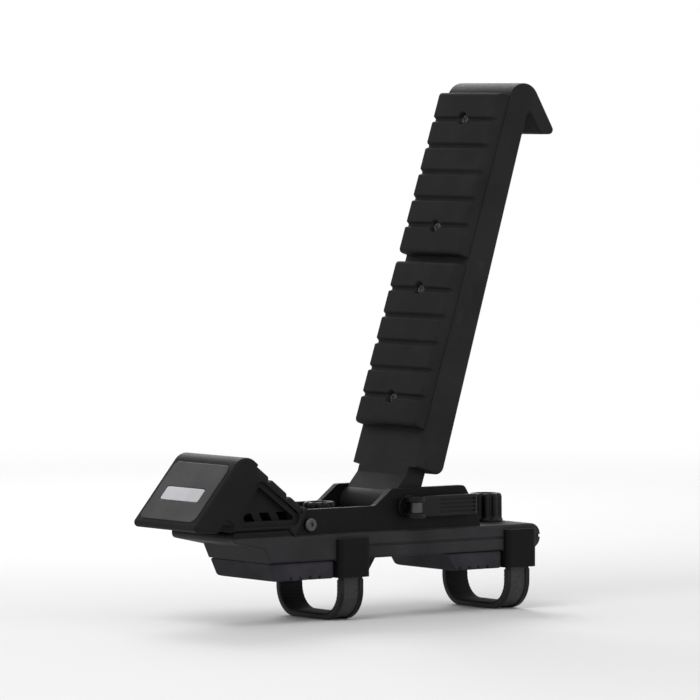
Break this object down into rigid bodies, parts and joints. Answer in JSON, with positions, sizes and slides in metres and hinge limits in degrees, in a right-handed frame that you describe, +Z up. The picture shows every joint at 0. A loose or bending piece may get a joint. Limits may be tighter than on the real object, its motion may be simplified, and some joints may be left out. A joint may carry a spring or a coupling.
{
  "type": "j style kayak carrier",
  "caption": "J shaped roof carrier for a boat on its side: padded hook, folding padded upright with a cam lock, and screw-drawn band clamps on a rail.",
  "frame": {"origin": "on the seat plane of the rubber saddles, midway between the two clamps", "axes": "+X inboard along the bar that it clamps to, +Y to the rear, +Z up"},
  "size_m": [0.381, 0.1149, 0.457],
  "materials": {
    "moulded_black": "fine moulded texture",
    "cover_grey": "satin, with a pale inlay",
    "black_rubber": "matte",
    "coated_steel": "powder coated",
    "plated_steel": "zinc plated",
    "grip_black": "satin",
    "bearing_plastic": "smooth",
    "black_zinc": "black zinc plated"
  },
  "bodies": {
    "base": {"base": "moulded_black", "outer_saddle": "black_rubber", "inner_saddle": "black_rubber", "nose_arm": "moulded_black", "nose_cover": "cover_grey", "nose_pad": "black_rubber", "nose_cross_bolt": "black_zinc", "nose_cross_nut": "black_zinc", "nose_screws": "black_zinc", "hinge_bolt": "black_zinc", "hinge_washer": "black_zinc", "hinge_nut": "black_zinc", "friction_washers": "bearing_plastic", "cam_washer": "bearing_plastic", "cam_pin": "black_zinc", "stop_bumper": "black_rubber", "outer_knob_washer": "plated_steel", "inner_knob_washer": "plated_steel"},
    "upright": {"upright_arm": "moulded_black", "hub_sleeve": "plated_steel", "upright_lower_pad": "black_rubber", "upright_upper_pad": "black_rubber", "pad_screws": "black_zinc"},
    "lever": {"lock_lever": "grip_black"},
    "outer_screw": {"outer_knob": "grip_black", "outer_stud": "plated_steel"},
    "outer_clamp": {"outer_band": "coated_steel", "outer_liner": "black_rubber", "outer_yoke": "plated_steel", "outer_band_screws": "plated_steel"},
    "inner_screw": {"inner_knob": "grip_black", "inner_stud": "plated_steel"},
    "inner_clamp": {"inner_band": "coated_steel", "inner_liner": "black_rubber", "inner_yoke": "plated_steel", "inner_band_screws": "plated_steel"}
  },
  "joints": [
    {"name": "upright_fold", "type": "hinge", "parent": "base", "child": "upright", "pos_m": [-0.028, 0, 0.058], "axis": [0, -1, 0], "range_deg": [0, 85]},
    {"name": "lever_swing", "type": "hinge", "parent": "base", "child": "lever", "pos_m": [-0.028, -0.0546, 0.058], "axis": [0, 0, -1], "range_deg": [0, 150]},
    {"name": "outer_knob_turn", "type": "hinge", "parent": "base", "child": "outer_screw", "pos_m": [-0.09, 0, 0.05], "axis": [0, 0, 1], "range_deg": [0, 2305]},
    {"name": "outer_clamp_slide", "type": "slide", "parent": "base", "child": "outer_clamp", "axis": [0, 0, -1], "range_m": [0, 0.008]},
    {"name": "inner_knob_turn", "type": "hinge", "parent": "base", "child": "inner_screw", "pos_m": [0.09, 0, 0.05], "axis": [0, 0, 1], "range_deg": [0, 2305]},
    {"name": "inner_clamp_slide", "type": "slide", "parent": "base", "child": "inner_clamp", "axis": [0, 0, -1], "range_m": [0, 0.008]}
  ],
  "couplings": [
    {"joint": "outer_knob_turn", "follows": "outer_clamp_slide", "rad_per_m": 5026.5},
    {"joint": "inner_knob_turn", "follows": "inner_clamp_slide", "rad_per_m": 5026.5}
  ]
}
